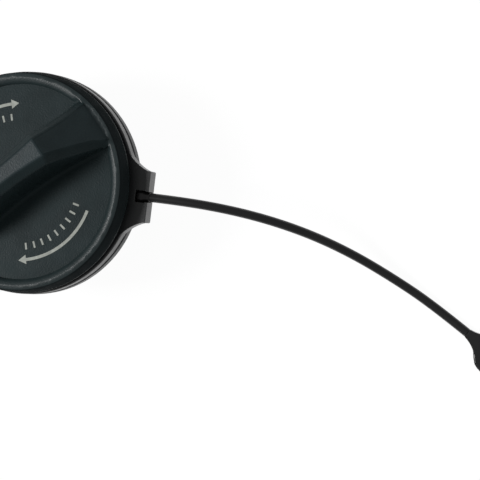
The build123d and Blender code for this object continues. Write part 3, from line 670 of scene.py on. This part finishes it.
@dataclass
class Marks:
    """Printed marks on the grip's floor: a curved arrow for tightening, over a row of ticks.

    Attributes:
        height: Height of the floor that carries them, in millimetres.
        lift: Height of the print over the floor, in millimetres.
        radius: Middle radius of the arrow's shaft, in millimetres.
        shaft: Width of the shaft, in millimetres.
        start: Bearing of the arrow's tail, in degrees.
        sweep: Turn from the tail to the head, in degrees.
        steps: Faces along the shaft.
        head: Side of the arrow's head, in millimetres.
        head_turn: Turn from the shaft's end to the middle of the head, in degrees.
        ticks: Number of ticks.
        tick_low: Radius of the ticks' inner ends, in millimetres.
        tick_high: Radius of the ticks' outer ends, in millimetres.
        tick_width: Width of a tick, in millimetres.
        merge: Points closer than this become one, in millimetres.
    """

    height: float = 41.6
    lift: float = 0.03
    radius: float = 28.4
    shaft: float = 1.1
    start: float = -56.0
    sweep: float = -62.0
    steps: int = 31
    head: float = 3.4
    head_turn: float = 3.1
    ticks: int = 9
    tick_low: float = 22.4
    tick_high: float = 24.8
    tick_width: float = 0.7
    merge: float = 0.001

    def _place(self, radius: float, degrees: float) -> Point:
        """Point on the printed level from a radius in millimetres and a bearing."""
        turn = math.radians(degrees)
        level = (self.height + self.lift) * MM
        return radius * MM * math.cos(turn), radius * MM * math.sin(turn), level

    def shaft_strip(self, begin: float) -> bpy.types.Object:
        """Spin one short edge about the axis into the arrow's curved shaft.

        Args:
            begin: Bearing of the tail, in degrees.

        Returns:
            The shaft, with its place in its mesh.
        """
        deselect()
        middle = self._place(self.radius, 0.0)
        bpy.ops.mesh.primitive_plane_add(size=self.shaft * MM, location=middle)
        strip = bpy.context.object
        bpy.ops.object.transform_apply()
        bpy.ops.object.mode_set(mode="EDIT")
        bpy.ops.mesh.select_all(action="DESELECT")
        work = bmesh.from_edit_mesh(strip.data)
        for vertex in work.verts:
            vertex.select_set(vertex.co.y > 0.0)
        work.select_flush(True)
        bmesh.update_edit_mesh(strip.data)
        bpy.ops.mesh.delete(type="VERT")
        bpy.ops.mesh.select_all(action="SELECT")
        bpy.ops.mesh.spin(steps=self.steps, angle=-math.radians(self.sweep), center=(0.0, 0.0, 0.0),
                          axis=(0.0, 0.0, 1.0))
        bpy.ops.object.mode_set(mode="OBJECT")
        strip.rotation_euler.z = math.radians(begin)
        bpy.ops.object.transform_apply()
        return strip

    def head_piece(self, tip: float) -> bpy.types.Object:
        """Add the arrow's three-sided head, pointing on along the sweep from a bearing."""
        deselect()
        middle = tip + math.copysign(self.head_turn, self.sweep)
        facing = tip if self.sweep > 0.0 else tip + 180.0
        bpy.ops.mesh.primitive_circle_add(
            vertices=3, radius=self.head * MM / math.sqrt(3.0), fill_type="NGON",
            location=self._place(self.radius, middle), rotation=(0.0, 0.0, math.radians(facing)))
        bpy.ops.object.transform_apply()
        return bpy.context.object

    def tick_piece(self, bearing: float) -> bpy.types.Object:
        """Add one tick, standing on a bearing."""
        deselect()
        middle = (self.tick_low + self.tick_high) / 2
        bpy.ops.mesh.primitive_plane_add(size=MM, location=self._place(middle, bearing),
                                         rotation=(0.0, 0.0, math.radians(bearing)))
        tick = bpy.context.object
        tick.scale = (self.tick_high - self.tick_low, self.tick_width, 1.0)
        bpy.ops.object.transform_apply()
        return tick

    def arrow(self, turn: float) -> bpy.types.Object:
        """Model one arrow with its ticks, turned about the axis.

        Args:
            turn: Bearing that the whole set is turned by, in degrees.

        Returns:
            The marks as one flat piece that faces up.
        """
        begin = self.start + turn
        strip = self.shaft_strip(begin)
        rest = [self.head_piece(begin + self.sweep)]
        rest += [self.tick_piece(begin + self.sweep * tick / (self.ticks - 1))
                 for tick in range(self.ticks)]
        activate(strip)
        for piece in rest:
            piece.select_set(True)
        bpy.ops.object.join()
        strip.name = f"printed_marks_{turn:.0f}"
        bpy.ops.object.mode_set(mode="EDIT")
        bpy.ops.mesh.select_all(action="SELECT")
        bpy.ops.mesh.remove_doubles(threshold=self.merge * MM)
        bpy.ops.mesh.select_all(action="DESELECT")
        work = bmesh.from_edit_mesh(strip.data)
        for face in work.faces:
            face.select_set(face.normal.z < 0.0)
        bmesh.update_edit_mesh(strip.data)
        bpy.ops.mesh.flip_normals()
        bpy.ops.object.mode_set(mode="OBJECT")
        return strip

    def build(self) -> None:
        """Print the marks on both halves of the floor."""
        for turn in (0.0, 180.0):
            dress(self.arrow(turn), PRINT_GREY, Body.GRIP)


@dataclass
class Grip:
    """Grip cover with its waisted handle, the marks on it, and the drive ring inside it.

    All lengths are in millimetres, heights from the frame's origin and radii from the axis. The
    crest is the rounded rim of the cover, and a ramp is a sloping end of the handle.

    Attributes:
        pocket_floor: Height of the floor beside the handle.
        clear: Room that keeps a test clear of the level or line beside it.
        handle_end: Distance of the handle's ends from the axis.
        handle_waist: Half width of the handle's foot at its middle.
        handle_spread: How much wider half of it is at its ends.
        handle_margin: How far outside its foot a point still belongs to the handle.
        handle_reach: Radius up to which its edges are rounded.
        handle_round: Rounding of its edges.
        handle_degrees: Edges sharper than this are rounded.
        handle_segments: Faces across the rounding.
        handle_merge: Points of the cover closer than this become one.
        foot_top: Height above which only its outward edges are rounded.
        ridge_low: Height above which faces belong to its top.
        ridge_flat: Least upward part of the normal on its top.
        ridge_end: Distance from the middle at which its ramps start.
        ridge_top: Height of its top.
        ramp_slope: Fall of a ramp as moulded.
        ramp_soft_slope: Fall of a ramp that meets the eased crest.
        ramp_foot: Distance from the middle, and height, where such a ramp ends.
        ramp_half: Half width that holds a ramp's end.
        ramp_near: Least radius of the moulded end of a ramp.
        ramp_reach: Greatest radius of that end where it follows the crest.
        ramp_low: Least height of that end.
        ramp_high: Greatest height of that end.
        ramp_lean: Least lengthwise part of the normal on a ramp.
        ramp_turn: Greatest sideways part of the normal on a ramp.
        touch_shift: Share of an edge that parts a ramp's end from the crest.
        side_radius: Radius past which faces belong to the upright wall.
        side_low: Height of the upright wall's foot.
        side_top: Height of the upright wall's top.
        crest_low: Height above which faces belong to the crest.
        crest_top: Height below which faces belong to the crest.
        crest_peak: Height of the crest's highest line.
        crest_wall: Radius of the crest's highest line.
        crest_inner: Radius past which faces belong to the crest.
        crest_reach: Farthest that a point may lie from a line that it counts as being on.
        crest_moulded: Section of the crest as moulded, as radius and height.
        crest_soft: Section of the eased crest, point by point.
    """

    pocket_floor: float = 41.6
    clear: float = 0.05
    handle_end: float = 37.0
    handle_waist: float = 5.9
    handle_spread: float = 4.7
    handle_margin: float = 0.9
    handle_reach: float = 35.8
    handle_round: float = 0.8
    handle_degrees: float = 13.0
    handle_segments: int = 4
    handle_merge: float = 0.02
    foot_top: float = 42.6
    ridge_low: float = 58.0
    ridge_flat: float = 0.9
    ridge_end: float = 18.8
    ridge_top: float = 61.9
    ramp_slope: float = 0.9712
    ramp_soft_slope: float = 1.0402
    ramp_foot: tuple[float, float] = (36.7, 43.28)
    ramp_half: float = 7.8
    ramp_near: float = 37.6
    ramp_reach: float = 37.85
    ramp_low: float = 43.52
    ramp_high: float = 44.3
    ramp_lean: float = 0.6
    ramp_turn: float = 0.08
    touch_shift: float = 0.9
    side_radius: float = 38.9
    side_low: float = 37.3
    side_top: float = 43.3
    crest_low: float = 42.0
    crest_top: float = 43.7
    crest_peak: float = 43.6
    crest_wall: float = 37.9
    crest_inner: float = 33.7
    crest_reach: float = 0.03
    crest_moulded: tuple[tuple[float, float], ...] = (
        (39.7, 41.8), (39.46, 42.7), (38.8, 43.36), (37.9, 43.6), (37.45, 43.5), (37.1, 43.2),
        (36.26, 42.08), (35.83, 41.73), (35.3, 41.6))
    crest_soft: tuple[tuple[float, float], ...] = (
        (39.7, 41.8), (39.55, 42.7), (39.15, 43.3), (38.3, 43.6), (37.5, 43.53), (36.6, 43.23),
        (35.5, 42.5), (34.5, 41.8), (33.6, 41.6))

    def _in_outline(self, place: Vector) -> bool:
        """Whether a point is inside the handle's waisted outline with its foot, seen from above."""
        along = place.x / MM / self.handle_end
        half = self.handle_waist + self.handle_spread * along * along + self.handle_margin
        return abs(place.y) / MM < half

    def _on_handle(self, place: Vector) -> bool:
        """Whether a point is on the handle or at its foot, clear of the crest."""
        inside = radius_of(place) < self.handle_reach and self._in_outline(place)
        return inside and place.z / MM > self.pocket_floor - self.clear

    def _on_ramp(self, place: Vector, level: float) -> bool:
        """Whether a point at some height is on a ramp as moulded."""
        along = abs(place.x) / MM - self.ridge_end
        if along <= 0.0 or abs(place.y) / MM >= self.ramp_half:
            return False
        return abs(level - self.ridge_top + self.ramp_slope * along) < self.crest_reach

    def _ramp_end(self, place: Vector) -> bool:
        """Whether a point is on the line where a ramp ends, along the crest or up its wall."""
        if abs(place.y) / MM > self.ramp_half:
            return False
        radius, level = radius_of(place), place.z / MM
        if self.ramp_near < radius < self.ramp_reach and self.ramp_low < level < self.crest_peak:
            return True
        on_wall = abs(radius - self.crest_wall) < self.crest_reach
        return on_wall and self.crest_peak + self.clear < level < self.ramp_high

    def _free_crest_top(self, work: bmesh.types.BMesh) -> None:
        """Part the ramps' end lines from the crest's top where the two touch in one point."""
        for touch in [v for v in work.verts if radius_of(v.co) > self.ramp_reach]:
            beside = [edge.other_vert(touch) for edge in touch.link_edges]
            ends = [v for v in beside if self._ramp_end(v.co)]
            inner = [v for v in ends if radius_of(v.co) < self.ramp_reach]
            upper = [v for v in ends if v.co.z / MM > self.crest_peak + self.clear]
            if self._ramp_end(touch.co) or not inner or not upper:
                continue
            edge = work.edges.get((touch, inner[0]))
            parted = bmesh.utils.edge_split(edge, touch, self.touch_shift)[1]
            for face in set(parted.link_faces) & set(upper[0].link_faces):
                bmesh.utils.face_split(face, parted, upper[0])

    def _on_soft_crest(self, here: Vector) -> Vector | None:
        """Find where a point of the moulded crest goes on the eased one.

        Args:
            here: Radius and height of the point.

        Returns:
            Its new radius and height, or None where the point isn't on the crest.
        """
        spans = zip(self.crest_moulded, self.crest_moulded[1:], self.crest_soft,
                    self.crest_soft[1:])
        for old_a, old_b, new_a, new_b in spans:
            nearest, share = intersect_point_line(here, Vector(old_a), Vector(old_b))
            if 0.0 <= share <= 1.0 and (nearest.xy - here).length < self.crest_reach:
                return Vector(new_a).lerp(Vector(new_b), share)
        return None

    def _eased_place(self, place: Vector) -> Vector | None:
        """Find where easing the crest moves a point of the cover.

        Args:
            place: The point, in metres.

        Returns:
            Its new place in metres, or None where it stays.
        """
        radius = radius_of(place)
        here = Vector((radius, place.z / MM))
        if self._ramp_end(place):
            end, level = self.ramp_foot
            return Vector((math.copysign(end * MM, place.x), place.y, level * MM))
        if self._on_ramp(place, here.y):
            along = abs(place.x) / MM - self.ridge_end
            return Vector((place.x, place.y, (self.ridge_top - self.ramp_soft_slope * along) * MM))
        if here.y <= self.side_top and self._in_outline(place):
            return None
        moved = self._on_soft_crest(here)
        if moved is None:
            return None
        scale = moved.x / radius
        return Vector((place.x * scale, place.y * scale, moved.y * MM))

    def _ease_crest(self, cover: bpy.types.Object) -> int:
        """Ease the crest's inner slope into a broad round that also passes the handle's ends.

        Args:
            cover: The cover's copy, before its edges are rounded.

        Returns:
            How many points were moved.
        """
        work = bmesh.new()
        work.from_mesh(cover.data)
        self._free_crest_top(work)
        moved = 0
        for vertex in work.verts:
            place = self._eased_place(vertex.co)
            if place is not None:
                vertex.co = place
                moved += 1
        work.to_mesh(cover.data)
        work.free()
        cover.data.update()
        return moved

    def _part(self, face: bpy.types.MeshPolygon) -> CoverPart:
        """Which part of the cover a face belongs to."""
        level, radius, normal = face.center.z / MM, radius_of(face.center), face.normal
        if self.side_low < level < self.side_top and radius > self.side_radius:
            return CoverPart.SIDE
        if level > self.ridge_low and normal.z > self.ridge_flat:
            return CoverPart.RIDGE
        if self.crest_low < level < self.crest_top and radius > self.crest_inner:
            return CoverPart.CREST
        leans = abs(normal.x) > self.ramp_lean and abs(normal.y) < self.ramp_turn
        return CoverPart.RAMP if level > self.crest_top and leans else CoverPart.GRAIN

    def _dress_parts(self, cover: bpy.types.Object) -> None:
        """Give the upright wall its painted shade, the ridge its rubbed gloss with painted light,
        the crest its glossier grain and the ramps their painted light.
        """
        for finish in (COVER_SIDE_PAINTED_SHADE, COVER_RUBBED_AND_PAINTED_LIGHT, CREST_RUBBED, RAMP_PAINTED_LIGHT):
            cover.data.materials.append(finish.material())
        for face in cover.data.polygons:
            face.material_index = self._part(face)

    def build(self) -> None:
        """Build the cover and its marks, and dress the drive ring."""
        cover = soften("grip_cover", self.handle_round, self.handle_degrees, self._on_handle,
                       segments=self.handle_segments, convex_above=self.foot_top,
                       merge=self.handle_merge, shape=self._ease_crest)
        dress(cover, COVER_GRAIN, Body.GRIP, ["grip_cover"])
        self._dress_parts(cover)
        Marks(height=self.pocket_floor).build()
        dress_node("drive_ring", DRIVE_ACETAL)


# ---------------------------------------------------------------- closure and valves


@dataclass
class Closure:
    """Closure moulding, its gasket and the valve set inside its stem.

    Attributes:
        flange_edge: Radius past which the flange's edges are rounded, in millimetres.
        flange_top: Height under which they are rounded, in millimetres.
        stem_top: Height under which the stem's edges are rounded, in millimetres.
        stem_inside: Radius past which they are rounded, in millimetres.
        stem_outside: Radius up to which they are rounded, in millimetres.
        edge_round: Rounding of the moulding's and the retainer's edges, in millimetres.
        edge_degrees: Edges of the moulding sharper than this are rounded.
        gasket_round: Rounding of the gasket's edges, in millimetres.
        pressure_seat: Height of the pressure spring's fixed end, in millimetres; not used.
        pressure_keep: Share of its length that is left when the valve is fully lifted; not used.
        vacuum_seat: Height of the vacuum spring's fixed end, in millimetres; not used.
        vacuum_keep: Share of its length that is left when the valve is fully down; not used.
    """

    flange_edge: float = 39.0
    flange_top: float = 29.0
    stem_top: float = 21.0
    stem_inside: float = 22.9
    stem_outside: float = 26.5
    edge_round: float = 0.2
    edge_degrees: float = 28.0
    gasket_round: float = 0.4
    pressure_seat: float = 25.4
    pressure_keep: float = 12.6 / 15.6
    vacuum_seat: float = 9.8
    vacuum_keep: float = 4.0 / 5.4

    def coil(self, node: str, body: Body) -> None:
        """Build a coil spring from its node's mesh, shaded smooth and dressed.

        Args:
            node: Node that it stands for.
            body: Body that carries its fixed end.
        """
        wire = copy_of_node(node, f"{node}_coil")
        smooth(wire)
        dress(wire, SPRING_WIRE, body, [node])
        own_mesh(wire)

    def _outside(self, place: Vector) -> bool:
        """Whether a point is on the flange's rim or outside the stem with its thread."""
        radius = radius_of(place)
        level = place.z / MM
        on_rim = radius > self.flange_edge and level < self.flange_top
        on_stem = self.stem_inside < radius < self.stem_outside and level < self.stem_top
        return on_rim or on_stem

    def build(self) -> None:
        """Round what shows, and dress every node of the closure and the valves."""
        body = soften("closure_body", self.edge_round, self.edge_degrees, self._outside)
        dress(body, CLOSURE_SATIN, Body.CLOSURE, ["closure_body"])
        gasket = soften("neck_gasket", self.gasket_round, segments=3)
        dress(gasket, SEAL_RUBBER, Body.CLOSURE, ["neck_gasket"])
        retainer = soften("valve_retainer", self.edge_round)
        dress(retainer, VALVE_ACETAL, Body.CLOSURE, ["valve_retainer"])
        for node in ("housing_seal", "pressure_seal"):
            dress_node(node, SEAL_RUBBER)
        for node in ("valve_housing", "pressure_plate", "vacuum_valve"):
            dress_node(node, VALVE_ACETAL)
        self.coil("pressure_spring", Body.CLOSURE)
        self.coil("vacuum_spring", Body.PRESSURE)
        for node in ("spring_cup", "stem_clip"):
            dress_node(node, PLATED_SHEET)


def main() -> None:
    """Build the cap piece by piece."""
    logging.basicConfig(level=logging.INFO, format="%(name)s %(message)s")
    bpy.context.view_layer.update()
    Studio().build()
    Tether().build()
    Grip().build()
    Closure().build()
    deselect()


if __name__ == "__main__":
    main()
